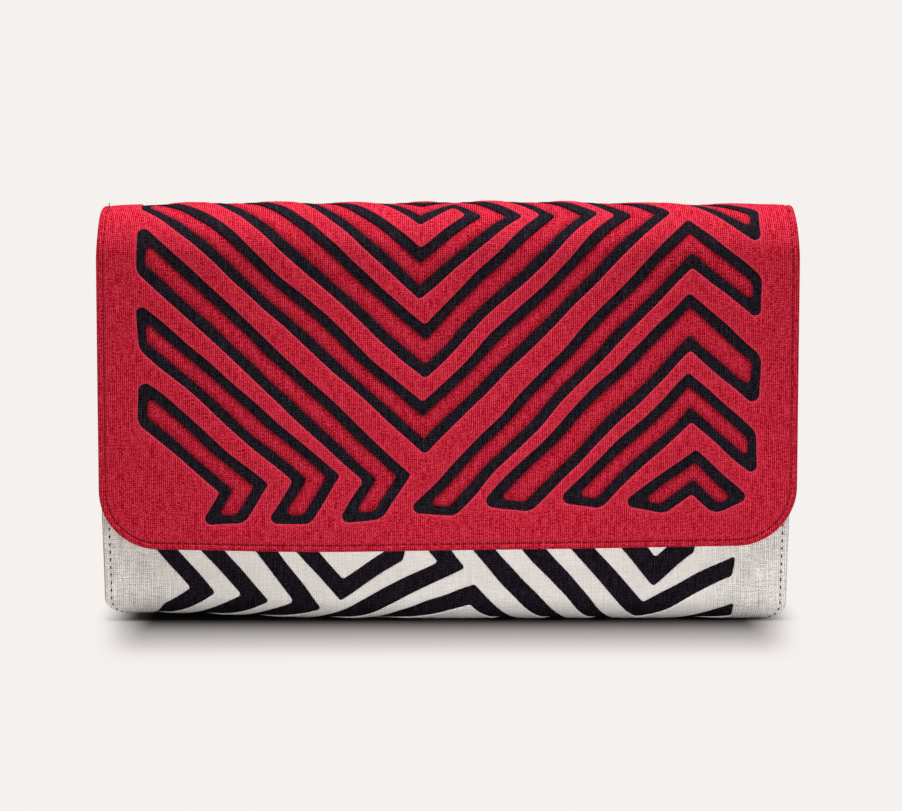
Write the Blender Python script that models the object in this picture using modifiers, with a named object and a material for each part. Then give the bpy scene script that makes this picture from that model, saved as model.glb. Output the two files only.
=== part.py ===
"""A closed clutch bag sewn from two mola panels: a red flap panel that folds over the top and is
also the back wall, a grey front panel that rolls under as the bottom, and two side gussets.

Metres, +Z up. The bag stands on its bottom, its front faces -Y, and the origin is under its middle.
"""

import math
from collections import namedtuple

import bmesh
import bpy

# Driving dimensions
FLAP_WIDTH = 0.270
POUCH_WIDTH = 0.267
POUCH_SHIFT = -0.0008
HEIGHT = 0.1615
DEPTH = 0.038

FLAP_CLOTH = 0.0024
FRONT_CLOTH = 0.0020
GUSSET_CLOTH = 0.0014
SEAM_GAP = 0.0003
FLAP_GAP = 0.0006

FOLD_RADIUS = DEPTH / 2
FOLD_DRAWN_IN = 0.0009
FLAP_LOW = 0.0283
FLAP_SKEW = 0.0140
FLAP_CORNER = 0.023
BACK_LOW = 0.0105

MOUTH_HEIGHT = 0.128
MOUTH_LEAN = 0.0020
LEAN_LENGTH = 0.026
BOTTOM_ROLL = 0.008
BOTTOM_CORNER = 0.006
LAP_HEIGHT = 0.023
TAPER = 0.0012
TAPER_HEIGHT = 0.060

GUSSET_LIP = 0.0035
GUSSET_BEND = 0.0030
GUSSET_FOLD = 0.0070
GUSSET_FLOOR = 0.0032
GUSSET_TOP = 0.124
GUSSET_OUT = 0.0004

# How the stuffed middle swells, how the bottom's ends lift and how the fold's ends droop
CROWN_POWER = 2.6
WAVE_HEIGHT = 0.0003
WAVE_ACROSS = 0.118
WAVE_UP = 0.170
WAVE_FADE = 0.030
LIFT_LEFT_START = 0.035
LIFT_LEFT = 0.0026
LIFT_RIGHT_START = 0.112
LIFT_RIGHT = 0.0005
TOP_DROOP = 0.0011
DROOP_POWER = 5

Swell = namedtuple("Swell", "place height outward")
SWELLS = (
    Swell("bottom", 0.000, 0.0000),
    Swell("top of the bottom roll", 0.010, 0.0008),
    Swell("lower edge of the flap", 0.030, 0.0021),
    Swell("middle of the front", 0.082, 0.0032),
    Swell("foot of the fold", 0.142, 0.0012),
    Swell("crest of the fold", 0.170, 0.0008),
)

Section = namedtuple("Section", "name rows")
FLAP_SECTIONS = (
    Section("corners", 7),
    Section("flap", 9),
    Section("fold", 14),
    Section("back", 11),
)
FRONT_SECTIONS = (
    Section("lap", 2),
    Section("back roll", 5),
    Section("bottom", 2),
    Section("front roll", 5),
    Section("front", 12),
    Section("mouth", 3),
)
GUSSET_SECTIONS = (
    Section("front lip", 1),
    Section("front bend", 3),
    Section("wall", 9),
    Section("back bend", 3),
    Section("back lip", 1),
)
FLAP_COLUMNS = 22
FRONT_COLUMNS = 20
GUSSET_ROWS = 12

FOLD_CENTRE = HEIGHT - FOLD_RADIUS
FRONT_FACE = DEPTH / 2 - FLAP_CLOTH - FLAP_GAP
LAP_FACE = DEPTH / 2 - FLAP_CLOTH - SEAM_GAP

RED_LINEN = "C8203A"
GREY_LINEN = "C9C8C2"
GUSSET_LINEN = "A81C33"


def smooth(share):
    """0 to 1 with no slope at either end."""
    share = min(max(share, 0.0), 1.0)
    return share * share * (3 - 2 * share)


def swell_at(height):
    """How far the middle of a wall stands out at this height."""
    for low, high in zip(SWELLS, SWELLS[1:]):
        if height <= high.height:
            share = smooth((height - low.height) / (high.height - low.height))
            return low.outward + share * (high.outward - low.outward)
    return SWELLS[-1].outward


def outward(x, height, side):
    """How far a wall stands out of its flat place; side is -1 in front and 1 behind."""
    crown = 1 - min(abs(x) / (POUCH_WIDTH / 2), 1.0) ** CROWN_POWER
    turn = 2 * math.pi * (x / WAVE_ACROSS + side * height / WAVE_UP)
    wave = WAVE_HEIGHT * math.sin(turn) * smooth(height / WAVE_FADE)
    return crown * swell_at(height) + wave


def settled(x, y, z):
    """The point once the bottom's ends have lifted and the ends of the top fold have drooped."""
    lift, start = (LIFT_LEFT, LIFT_LEFT_START) if x < 0 else (LIFT_RIGHT, LIFT_RIGHT_START)
    share = (abs(x) - start) / (FLAP_WIDTH / 2 - start)
    up = lift * smooth(share) * (1 - z / HEIGHT)
    down = TOP_DROOP * min(abs(x) / (FLAP_WIDTH / 2), 1.0) ** DROOP_POWER * z / HEIGHT
    return (x, y, z + up - down)


def pushed(x, y, z, normal_y, normal_z, side):
    """A point of a wall moved out along its normal, then settled."""
    distance = outward(x, z, side)
    return settled(x, y + normal_y * distance, z + normal_z * distance)


def section_and_share(sections, row):
    """The section that grid line `row` lies in, and how far along it, from 0 to 1."""
    for section in sections:
        if row <= section.rows:
            return section.name, row / section.rows
        row -= section.rows
    raise ValueError("row past the last section")


def rows_of(sections):
    return sum(section.rows for section in sections)


def flap_point(across, row):
    """across runs from -1 at the left edge to 1; row from the flap's lower edge to the back's."""
    name, share = section_and_share(FLAP_SECTIONS, row)
    half = FLAP_WIDTH / 2
    if name == "corners":
        turn = share * math.pi / 2
        x = across * (half - FLAP_CORNER + FLAP_CORNER * math.sin(turn))
        low = FLAP_LOW + FLAP_SKEW * x
        z = low + FLAP_CORNER * (1 - math.cos(turn))
        return pushed(x, -FOLD_RADIUS, z, -1, 0, -1)
    x = across * half
    if name == "flap":
        low = FLAP_LOW + FLAP_SKEW * x + FLAP_CORNER
        z = low + share * (FOLD_CENTRE - low)
        return pushed(x, -FOLD_RADIUS, z, -1, 0, -1)
    if name == "fold":
        turn = share * math.pi
        y, z = -math.cos(turn), math.sin(turn)
        side = -math.cos(turn)
        x -= across * FOLD_DRAWN_IN * z
        return pushed(x, FOLD_RADIUS * y, FOLD_CENTRE + FOLD_RADIUS * z, y, z, side)
    z = FOLD_CENTRE + share * (BACK_LOW - FOLD_CENTRE)
    return pushed(x, FOLD_RADIUS, z, 1, 0, 1)


def pouch_half_width(z):
    """Half the front panel's width: it tapers a little and its bottom corners are round."""
    half = POUCH_WIDTH / 2 - TAPER * smooth(1 - z / TAPER_HEIGHT)
    below = max(BOTTOM_CORNER - z, 0.0)
    return half - BOTTOM_CORNER + math.sqrt(BOTTOM_CORNER**2 - below**2)


def front_profile(name, share):
    """(y, z, normal y, normal z) of the front panel's outer face before it swells."""
    front = -FRONT_FACE + BOTTOM_ROLL
    back = LAP_FACE - BOTTOM_ROLL
    if name == "lap":
        return LAP_FACE, LAP_HEIGHT + share * (BOTTOM_ROLL - LAP_HEIGHT), 1, 0
    if name == "back roll":
        turn = share * math.pi / 2
        y, z = math.cos(turn), -math.sin(turn)
        return back + BOTTOM_ROLL * y, BOTTOM_ROLL + BOTTOM_ROLL * z, y, z
    if name == "bottom":
        return back + share * (front - back), 0.0, 0, -1
    if name == "front roll":
        turn = share * math.pi / 2
        y, z = -math.sin(turn), -math.cos(turn)
        return front + BOTTOM_ROLL * y, BOTTOM_ROLL + BOTTOM_ROLL * z, y, z
    lean_start = MOUTH_HEIGHT - LEAN_LENGTH
    if name == "front":
        return -FRONT_FACE, BOTTOM_ROLL + share * (lean_start - BOTTOM_ROLL), -1, 0
    return -FRONT_FACE + MOUTH_LEAN * smooth(share), lean_start + share * LEAN_LENGTH, -1, 0


def front_point(across, row):
    """across runs from -1 at the left edge to 1; row from the lap inside the back to the mouth."""
    name, share = section_and_share(FRONT_SECTIONS, row)
    y, z, normal_y, normal_z = front_profile(name, share)
    side = 1 if name in ("lap", "back roll") else -1
    x = POUCH_SHIFT + across * pouch_half_width(z)
    return pushed(x, y, z, normal_y, normal_z, side)


def roll_inset(z, face):
    """How much nearer the middle a wall's inner face lies where the bottom roll curves in."""
    inner = BOTTOM_ROLL - FRONT_CLOTH - SEAM_GAP
    below = min(max(BOTTOM_ROLL - z, 0.0), inner)
    return face - inner + math.sqrt(inner**2 - below**2)


def gusset_point(side, column, row):
    """column runs from the front lip to the back lip and row from the floor to the top."""
    name, share = section_and_share(GUSSET_SECTIONS, column)
    floor_share = (row / GUSSET_ROWS) ** 1.5
    z = GUSSET_FLOOR + floor_share * (GUSSET_TOP - GUSSET_FLOOR)
    lean = MOUTH_LEAN * smooth((z - MOUTH_HEIGHT + LEAN_LENGTH) / LEAN_LENGTH)
    front = -roll_inset(z, FRONT_FACE - FRONT_CLOTH - SEAM_GAP) + lean
    lap_end = smooth((z - LAP_HEIGHT) / LEAN_LENGTH)
    back = roll_inset(z, LAP_FACE - FRONT_CLOTH - SEAM_GAP) + lap_end * FRONT_CLOTH
    span = back - front
    fold = GUSSET_FOLD * smooth((z - GUSSET_FLOOR) / TAPER_HEIGHT)
    wall = GUSSET_LIP + GUSSET_BEND
    if name == "front lip":
        inward, along = share * GUSSET_LIP, 0.0
    elif name == "front bend":
        turn = share * math.pi / 2
        inward = GUSSET_LIP + GUSSET_BEND * math.sin(turn)
        along = GUSSET_BEND * (1 - math.cos(turn))
    elif name == "wall":
        inward = wall + fold * math.sin(share * math.pi) ** 2
        along = GUSSET_BEND + share * (span - 2 * GUSSET_BEND)
    elif name == "back bend":
        turn = share * math.pi / 2
        inward = GUSSET_LIP + GUSSET_BEND * math.cos(turn)
        along = span - GUSSET_BEND * (1 - math.sin(turn))
    else:
        inward, along = (1 - share) * GUSSET_LIP, span
    x = POUCH_SHIFT + side * (pouch_half_width(z) + GUSSET_OUT - inward)
    share_back = along / span
    push = share_back * outward(x, z, 1) - (1 - share_back) * outward(x, z, -1)
    return settled(x, front + along + push, z)


def linen(name, colour):
    """Matt woven cloth of one colour, given as an sRGB hex value."""
    parts = [int(colour[i : i + 2], 16) / 255 for i in (0, 2, 4)]
    linear = [c / 12.92 if c <= 0.04045 else ((c + 0.055) / 1.055) ** 2.4 for c in parts]
    material = bpy.data.materials.new(name)
    material.use_nodes = True
    shader = material.node_tree.nodes["Principled BSDF"]
    shader.inputs["Base Color"].default_value = (*linear, 1)
    shader.inputs["Roughness"].default_value = 0.9
    shader.inputs["Metallic"].default_value = 0.0
    return material


def cloth(name, columns, rows, place, thickness, grows, material, collection):
    """A sheet: a flat grid laid where place(column, row) says, then given its thickness."""
    bm = bmesh.new()
    bmesh.ops.create_grid(bm, x_segments=columns, y_segments=rows, size=0.5)
    for vert in bm.verts:
        column = round((vert.co.x + 0.5) * columns)
        row = round((vert.co.y + 0.5) * rows)
        vert.co = place(column, row)
    mesh = bpy.data.meshes.new(name)
    bm.to_mesh(mesh)
    bm.free()
    mesh.materials.append(material)
    mesh.shade_smooth()
    sheet = bpy.data.objects.new(name, mesh)
    collection.objects.link(sheet)
    solidify = sheet.modifiers.new("Thickness", "SOLIDIFY")
    solidify.thickness = thickness
    solidify.offset = grows
    solidify.use_even_offset = True
    return sheet


def flap_panel(collection):
    """The red panel: flap, top fold and back wall in one cloth."""

    def place(column, row):
        return flap_point(2 * column / FLAP_COLUMNS - 1, row)

    rows = rows_of(FLAP_SECTIONS)
    red = linen("red linen", RED_LINEN)
    cloth("flap_panel", FLAP_COLUMNS, rows, place, FLAP_CLOTH, -1, red, collection)


def front_panel(collection):
    """The grey panel: pouch front, bottom and the lap inside the back wall in one cloth."""

    def place(column, row):
        return front_point(2 * column / FRONT_COLUMNS - 1, row)

    rows = rows_of(FRONT_SECTIONS)
    grey = linen("grey linen", GREY_LINEN)
    cloth("front_panel", FRONT_COLUMNS, rows, place, FRONT_CLOTH, -1, grey, collection)


def gussets(collection):
    """The two side strips. Each one's inner face is laid out, and its thickness grows outwards."""
    columns = rows_of(GUSSET_SECTIONS)
    plain = linen("plain linen", GUSSET_LINEN)
    for name, side in (("gusset_left", -1), ("gusset_right", 1)):

        def place(column, row):
            return gusset_point(side, column if side > 0 else columns - column, row)

        cloth(name, columns, GUSSET_ROWS, place, GUSSET_CLOTH, 1, plain, collection)


def main():
    for obj in list(bpy.data.objects):
        bpy.data.objects.remove(obj, do_unlink=True)
    collection = bpy.data.collections.new("mola clutch bag")
    bpy.context.scene.collection.children.link(collection)
    flap_panel(collection)
    front_panel(collection)
    gussets(collection)


main()
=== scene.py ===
"""The looks of a closed clutch bag sewn from two mola panels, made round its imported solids.

A red mola is the flap, the top fold and the back; a grey mola is the pouch's front and bottom.
Each mola is cut and sewn in layers, and every layer is laid out flat, in u across the panel and
v along it, and then carried onto the bag's folds. Everything is in metres, +Z up, front to -Y.
"""

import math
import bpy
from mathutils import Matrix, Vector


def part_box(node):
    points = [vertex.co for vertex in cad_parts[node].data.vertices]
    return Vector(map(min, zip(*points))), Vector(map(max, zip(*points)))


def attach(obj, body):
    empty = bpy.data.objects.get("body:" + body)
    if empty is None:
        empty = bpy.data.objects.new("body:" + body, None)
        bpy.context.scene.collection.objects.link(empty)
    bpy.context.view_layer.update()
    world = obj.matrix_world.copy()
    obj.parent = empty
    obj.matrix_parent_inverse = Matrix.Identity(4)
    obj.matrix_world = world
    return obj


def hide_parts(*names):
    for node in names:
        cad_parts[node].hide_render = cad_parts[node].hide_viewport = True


bl_info = {
    "name": "Mola Clutch Bag",
    "version": (1, 0, 0),
    "blender": (4, 5, 0),
    "location": "View3D > Sidebar > Mola Bag",
    "description": "Builds a closed clutch bag sewn from two mola panels",
    "category": "Add Mesh",
}

from collections import namedtuple

import bpy
import numpy as np
from mathutils import Vector
from mathutils.geometry import delaunay_2d_cdt
from mathutils.kdtree import KDTree

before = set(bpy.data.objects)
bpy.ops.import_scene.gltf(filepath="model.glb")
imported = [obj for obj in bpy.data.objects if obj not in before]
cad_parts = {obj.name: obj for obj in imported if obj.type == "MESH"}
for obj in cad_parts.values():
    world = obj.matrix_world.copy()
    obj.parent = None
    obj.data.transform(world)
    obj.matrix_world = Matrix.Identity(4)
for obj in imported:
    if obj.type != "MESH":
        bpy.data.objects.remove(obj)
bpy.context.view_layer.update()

MM = 0.001

# The bag's form, as its solids have it
FLAP_LOW_CORNER, FLAP_HIGH_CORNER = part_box("flap_panel")
FLAP_WIDTH = FLAP_HIGH_CORNER.x - FLAP_LOW_CORNER.x
POUCH_WIDTH = 0.267
POUCH_SHIFT = -0.0008
HEIGHT = 0.1615
DEPTH = 0.038
FLAP_CLOTH = 0.0024
FRONT_CLOTH = 0.0020
GUSSET_CLOTH = 0.0014
SEAM_GAP = 0.0003
LIP_GAP = 0.00006
FLAP_GAP = 0.0006
FOLD_RADIUS = DEPTH / 2
FOLD_DRAWN_IN = 0.0009
FLAP_LOW = 0.0283
FLAP_SKEW = 0.0140
FLAP_CORNER = 0.023
BACK_LOW = 0.0105
MOUTH_HEIGHT = 0.128
MOUTH_LEAN = 0.0020
LEAN_LENGTH = 0.026
BOTTOM_ROLL = 0.008
BOTTOM_CORNER = 0.006
LAP_HEIGHT = 0.023
TAPER = 0.0012
TAPER_HEIGHT = 0.060
GUSSET_LIP = 0.0035
GUSSET_BEND = 0.0030
GUSSET_FOLD = 0.0070
GUSSET_FLOOR = 0.0032
GUSSET_TOP = 0.124
GUSSET_OUT = 0.0004
GUSSET_OUT_RIGHT = -0.0004
CROWN_POWER = 2.6
WAVE_HEIGHT = 0.0003
WAVE_ACROSS = 0.118
WAVE_UP = 0.170
WAVE_FADE = 0.030
LIFT_LEFT_START = 0.035
LIFT_LEFT = 0.0026
LIFT_RIGHT_START = 0.112
LIFT_RIGHT = 0.0005
TOP_DROOP = 0.0011
DROOP_POWER = 5

Swell = namedtuple("Swell", "place height outward")
SWELLS = (
    Swell("bottom", 0.000, 0.0000),
    Swell("top of the bottom roll", 0.010, 0.0008),
    Swell("lower edge of the flap", 0.030, 0.0021),
    Swell("middle of the front", 0.082, 0.0032),
    Swell("foot of the fold", 0.142, 0.0012),
    Swell("crest of the fold", 0.170, 0.0008),
)

FOLD_CENTRE = HEIGHT - FOLD_RADIUS
FRONT_FACE = DEPTH / 2 - FLAP_CLOTH - FLAP_GAP
LAP_FACE = DEPTH / 2 - FLAP_CLOTH - SEAM_GAP
FLAP_DROP = FOLD_CENTRE - FLAP_LOW
FOLD_LENGTH = math.pi * FOLD_RADIUS
BACK_DROP = FOLD_CENTRE - BACK_LOW
FLAP_LENGTH = FLAP_DROP + FOLD_LENGTH + BACK_DROP
ROLL_LENGTH = math.pi / 2 * BOTTOM_ROLL
LAP_LENGTH = LAP_HEIGHT - BOTTOM_ROLL
BOTTOM_DEPTH = LAP_FACE + FRONT_FACE - 2 * BOTTOM_ROLL
ROLL_END = LAP_LENGTH + 2 * ROLL_LENGTH + BOTTOM_DEPTH
FRONT_LENGTH = ROLL_END + MOUTH_HEIGHT - BOTTOM_ROLL

# The camera stands where the outline of the solids fits the outline in the photograph
CAMERA_DISTANCE = 1.197
CAMERA_LENS = 122.1
CAMERA_ELEVATION = 5.98
CAMERA_AZIMUTH = 0.37
CAMERA_TARGET = (0.0012, 0.0, 0.0826)


# The soft light of a pale room: one lamp overhead and a low one that lights the pouch's foot
Lamp = namedtuple("Lamp", "name place target size power")
LAMPS = (
    Lamp("soft top light", (0.0, -0.14, 1.15), (0.0, 0.0, 0.1), (0.5, 0.5), 20.5),
    Lamp("low strip light", (0.03, -0.16, 0.012), (0.03, 0.0, 0.02), (0.28, 0.02), 0.145),
)
FLOOR_RADIUS = 12.0
FLOOR_ALBEDO = 0.62
ROOM_HIGH = 0.10
ROOM_LEVEL_FROM, ROOM_LEVEL_TO = 0.08, 0.30

# The contact shadow painted into the floor's colour round the bag: how dark it lies, by metres from its
# footprint
FOOTPRINT = (0.114, 0.010, 0.0)
END_TIGHTNESS = 4.5
PAINTED_SHADOW_LIGHTER_BEHIND = 0.6
BEHIND_REACH = 0.03
GLOW_FROM = 0.03
Shade = namedtuple("Shade", "distance share")
PAINTED_CONTACT_SHADOW = (
    Shade(0.000, 0.05),
    Shade(0.008, 0.08),
    Shade(0.021, 0.25),
    Shade(0.034, 0.42),
    Shade(0.047, 0.52),
    Shade(0.059, 0.59),
    Shade(0.071, 0.70),
    Shade(0.083, 0.82),
    Shade(0.115, 0.90),
)


def srgb(code):
    """Linear red, green and blue of an sRGB hex value."""
    parts = [int(code[i : i + 2], 16) / 255 for i in (0, 2, 4)]
    return tuple(c / 12.92 if c <= 0.04045 else ((c + 0.055) / 1.055) ** 2.4 for c in parts)


# Forms: flat cloth coordinates to places on the bag


def smooth(share):
    """0 to 1 with no slope at either end."""
    share = np.clip(share, 0.0, 1.0)
    return share * share * (3 - 2 * share)


def swell_at(height):
    """How far the middle of a wall stands out at each height."""
    found = np.full_like(height, SWELLS[-1].outward)
    for low, high in zip(SWELLS[-2::-1], SWELLS[:0:-1]):
        share = smooth((height - low.height) / (high.height - low.height))
        step = low.outward + share * (high.outward - low.outward)
        found = np.where(height <= high.height, step, found)
    return found


def outward(x, height, side):
    """How far a wall stands out of its flat place; side is -1 in front and 1 behind."""
    crown = 1 - np.minimum(np.abs(x) / (POUCH_WIDTH / 2), 1.0) ** CROWN_POWER
    turn = 2 * math.pi * (x / WAVE_ACROSS + side * height / WAVE_UP)
    wave = WAVE_HEIGHT * np.sin(turn) * smooth(height / WAVE_FADE)
    return crown * swell_at(height) + wave


def settled(x, y, z):
    """The points once the bottom's ends have lifted and the ends of the fold have drooped."""
    start = np.where(x < 0, LIFT_LEFT_START, LIFT_RIGHT_START)
    lift = np.where(x < 0, LIFT_LEFT, LIFT_RIGHT)
    up = lift * smooth((np.abs(x) - start) / (FLAP_WIDTH / 2 - start)) * (1 - z / HEIGHT)
    share = np.minimum(np.abs(x) / (FLAP_WIDTH / 2), 1.0)
    down = TOP_DROOP * share**DROOP_POWER * z / HEIGHT
    return np.stack([x, y, z + up - down], axis=1)


def on_flap(u, v, out):
    """Places on the red panel: v runs from the flap's lower edge over the top and down the back."""
    turn = np.clip((v - FLAP_DROP) / FOLD_RADIUS, 0.0, math.pi)
    low = FLAP_LOW + FLAP_SKEW * u
    front_z = low + np.minimum(v, FLAP_DROP) * (FOLD_CENTRE - low) / FLAP_DROP
    back_z = FOLD_CENTRE - np.maximum(v - FLAP_DROP - FOLD_LENGTH, 0.0)
    base = np.where(v < FLAP_DROP, front_z, back_z)
    normal_y, normal_z = -np.cos(turn), np.sin(turn)
    x = u * (1 - FOLD_DRAWN_IN / (FLAP_WIDTH / 2) * normal_z)
    y, z = FOLD_RADIUS * normal_y, base + FOLD_RADIUS * normal_z
    away = outward(x, z, normal_y) + out
    return settled(x, y + away * normal_y, z + away * normal_z)


def front_profile(v):
    """(y, z, normal y, normal z) of the grey panel's outer face before it swells."""
    back_turn = np.clip((v - LAP_LENGTH) / BOTTOM_ROLL, 0.0, math.pi / 2)
    front_turn = np.clip((ROLL_END - v) / BOTTOM_ROLL, 0.0, math.pi / 2)
    across = np.clip(v - LAP_LENGTH - ROLL_LENGTH, 0.0, BOTTOM_DEPTH)
    behind = v < LAP_LENGTH + ROLL_LENGTH + BOTTOM_DEPTH / 2
    normal_y = np.where(behind, np.cos(back_turn), -np.cos(front_turn))
    normal_z = np.where(behind, -np.sin(back_turn), -np.sin(front_turn))
    y = LAP_FACE - BOTTOM_ROLL - across + BOTTOM_ROLL * normal_y
    lap = np.maximum(LAP_LENGTH - v, 0.0)
    wall = np.maximum(v - ROLL_END, 0.0)
    z = BOTTOM_ROLL * (1 + normal_z) + np.where(behind, lap, wall)
    lean = MOUTH_LEAN * smooth((z - MOUTH_HEIGHT + LEAN_LENGTH) / LEAN_LENGTH)
    return y + np.where(behind, 0.0, lean), z, normal_y, normal_z


def on_front(u, v, out):
    """Places on the grey panel: v runs from the lap inside the back, under, and up the front."""
    y, z, normal_y, normal_z = front_profile(v)
    x = POUCH_SHIFT + u
    side = np.where(v < LAP_LENGTH + ROLL_LENGTH, 1.0, -1.0)
    away = outward(x, z, side) + out
    places = settled(x, y + away * normal_y, z + away * normal_z)
    # What the bag stands on presses its swollen bottom flat.
    places[:, 2] = np.maximum(places[:, 2], 0.0)
    return places


def pouch_half_width(z):
    """Half the grey panel's width: it tapers a little and its bottom corners are round."""
    half = POUCH_WIDTH / 2 - TAPER * smooth(1 - z / TAPER_HEIGHT)
    below = np.maximum(BOTTOM_CORNER - z, 0.0)
    return half - BOTTOM_CORNER + np.sqrt(BOTTOM_CORNER**2 - below**2)


def roll_inset(z, face):
    """How much nearer the middle a wall's inner face lies where the bottom roll curves in."""
    inner = BOTTOM_ROLL - FRONT_CLOTH - SEAM_GAP
    below = np.clip(BOTTOM_ROLL - z, 0.0, inner)
    return face - inner + np.sqrt(inner**2 - below**2)


def gusset_form(side):
    """The function that carries a gusset's flat cloth onto the bag: u from lip to lip, v up."""

    def on_gusset(u, v, out):
        z = GUSSET_FLOOR + v
        lean = MOUTH_LEAN * smooth((z - MOUTH_HEIGHT + LEAN_LENGTH) / LEAN_LENGTH)
        front = -roll_inset(z, FRONT_FACE - FRONT_CLOTH - LIP_GAP) + lean
        lap_end = smooth((z - LAP_HEIGHT) / LEAN_LENGTH)
        back = roll_inset(z, LAP_FACE - FRONT_CLOTH - LIP_GAP) + lap_end * (FRONT_CLOTH + SEAM_GAP)
        span = back - front
        fold = GUSSET_FOLD * smooth(v / TAPER_HEIGHT)
        quarter = math.pi / 2 * GUSSET_BEND
        wall = span - 2 * GUSSET_BEND
        share_u = np.where(side > 0, u, GUSSET_FLAT - u)
        # The flat cloth's middle part takes up the wall, whatever its span is at this height.
        middle = GUSSET_FLAT - 2 * (GUSSET_LIP + quarter)
        past = np.clip((share_u - GUSSET_LIP - quarter) / middle, 0.0, 1.0)
        lip = np.clip(share_u, 0.0, GUSSET_LIP)
        back_lip = np.clip(share_u - GUSSET_FLAT + GUSSET_LIP, 0.0, GUSSET_LIP)
        first = np.clip((share_u - GUSSET_LIP) / GUSSET_BEND, 0.0, math.pi / 2)
        last_start = GUSSET_LIP + quarter + middle
        last = np.clip((share_u - last_start) / GUSSET_BEND, 0.0, math.pi / 2)
        inward = lip - back_lip + GUSSET_BEND * (np.sin(first) + np.cos(last) - 1)
        inward = inward + fold * np.sin(math.pi * past) ** 2
        along = GUSSET_BEND * (1 - np.cos(first) + np.sin(last)) + wall * past
        lean_in = fold * math.pi * np.sin(2 * math.pi * past) / np.maximum(wall, MM)
        steep = np.sqrt(1 + lean_in**2)
        normal_in = np.where(past > 0, -1 / steep, 0.0)
        normal_y = np.where(past > 0, lean_in / steep, 0.0)
        bend_in = np.where((past <= 0) | (past >= 1), 1.0, 0.0)
        angle = np.where(past <= 0, first, math.pi / 2 + last)
        normal_in = np.where(bend_in > 0, -np.sin(angle), normal_in)
        normal_y = np.where(bend_in > 0, np.cos(angle), normal_y)
        away = out + GUSSET_CLOTH
        inward = inward + away * normal_in
        along = along + away * normal_y
        stands_out = GUSSET_OUT if side < 0 else GUSSET_OUT_RIGHT
        x = POUCH_SHIFT + side * (pouch_half_width(z) + stands_out - inward)
        share = along / span
        push = share * outward(x, z, 1.0) - (1 - share) * outward(x, z, -1.0)
        return settled(x, front + along + push, z)

    return on_gusset


GUSSET_SPAN = FRONT_FACE + LAP_FACE - 2 * SEAM_GAP - FRONT_CLOTH
GUSSET_SLACK = 0.004
GUSSET_FLAT = GUSSET_SPAN + 2 * GUSSET_LIP + (math.pi - 2) * GUSSET_BEND + GUSSET_SLACK


# Flat outlines

# The share of a side that one rounded corner may take up, and how finely distances are measured
CORNER_ROOM = 0.45
MEASURE_STEP = 0.3 * MM
ARC_POINTS = 28
SIDE_POINTS = 120

# A wander is a sum of waves whose lengths differ by these factors
WANDER_WAVES = 5
WANDER_SHORTEST, WANDER_LONGEST = 0.7, 1.5
WANDER_MOST = 2.5


def closed_steps(points):
    """Each point's step to the next one round a closed outline."""
    return np.roll(points, -1, axis=0) - points


def resampled(points, step):
    """The closed outline with points an even step apart."""
    lengths = np.linalg.norm(closed_steps(points), axis=1)
    at = np.concatenate([[0.0], np.cumsum(lengths)])
    count = max(8, round(at[-1] / step))
    wanted = np.linspace(0.0, at[-1], count, endpoint=False)
    ring = np.vstack([points, points[:1]])
    return np.stack([np.interp(wanted, at, ring[:, k]) for k in (0, 1)], axis=1)


def rounded(points, radii, parts=9):
    """The closed outline with each corner rounded to its radius, where the sides are long enough."""
    before, after = np.roll(points, 1, axis=0), np.roll(points, -1, axis=0)
    found = []
    for last, corner, following, radius in zip(before, points, after, radii):
        way_in, way_out = corner - last, following - corner
        room = CORNER_ROOM * min(np.linalg.norm(way_in), np.linalg.norm(way_out))
        way_in = way_in / np.linalg.norm(way_in)
        way_out = way_out / np.linalg.norm(way_out)
        turn = math.acos(np.clip(way_in @ way_out, -1.0, 1.0))
        reach = min(radius * math.tan(turn / 2), room)
        share = np.linspace(0.0, 1.0, parts)[:, None]
        start, end = corner - way_in * reach, corner + way_out * reach
        pull = 2 * share * (1 - share) * math.cos(turn / 2)
        curve = (1 - share) ** 2 * start + pull * corner + share**2 * end
        found.append(curve / ((1 - share) ** 2 + pull + share**2))
    return np.concatenate(found)


def outward_normals(points):
    """Unit normals that point out of an outline that runs anticlockwise."""
    along = np.roll(points, -1, axis=0) - np.roll(points, 1, axis=0)
    along = along / np.linalg.norm(along, axis=1)[:, None]
    return np.stack([along[:, 1], -along[:, 0]], axis=1)


def anticlockwise(points):
    """The outline in the order that keeps its inside on the left."""
    x, y = points[:, 0], points[:, 1]
    area = (x * np.roll(y, -1) - y * np.roll(x, -1)).sum()
    return points if area > 0 else points[::-1]


def inside(points, outline):
    """Whether each point lies in the closed outline."""
    found = np.zeros(len(points), bool)
    low, high = outline.min(axis=0), outline.max(axis=0)
    near = np.flatnonzero(((points >= low) & (points <= high)).all(axis=1))
    px, py = points[near, 0], points[near, 1]
    odd = np.zeros(len(near), bool)
    for a, b in zip(outline, np.roll(outline, -1, axis=0)):
        crosses = (a[1] > py) != (b[1] > py)
        at = a[0] + (py - a[1]) * (b[0] - a[0]) / (b[1] - a[1] + 1e-18)
        odd ^= crosses & (px < at)
    found[near] = odd
    return found


def distances(points, outlines):
    """How far each point is from the nearest of these closed outlines."""
    dense = [resampled(outline, MEASURE_STEP) for outline in outlines]
    places = np.concatenate(dense)
    tree = KDTree(len(places))
    for index, place in enumerate(places):
        tree.insert((place[0], place[1], 0.0), index)
    tree.balance()
    return np.array([tree.find((p[0], p[1], 0.0))[2] for p in points])


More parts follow.
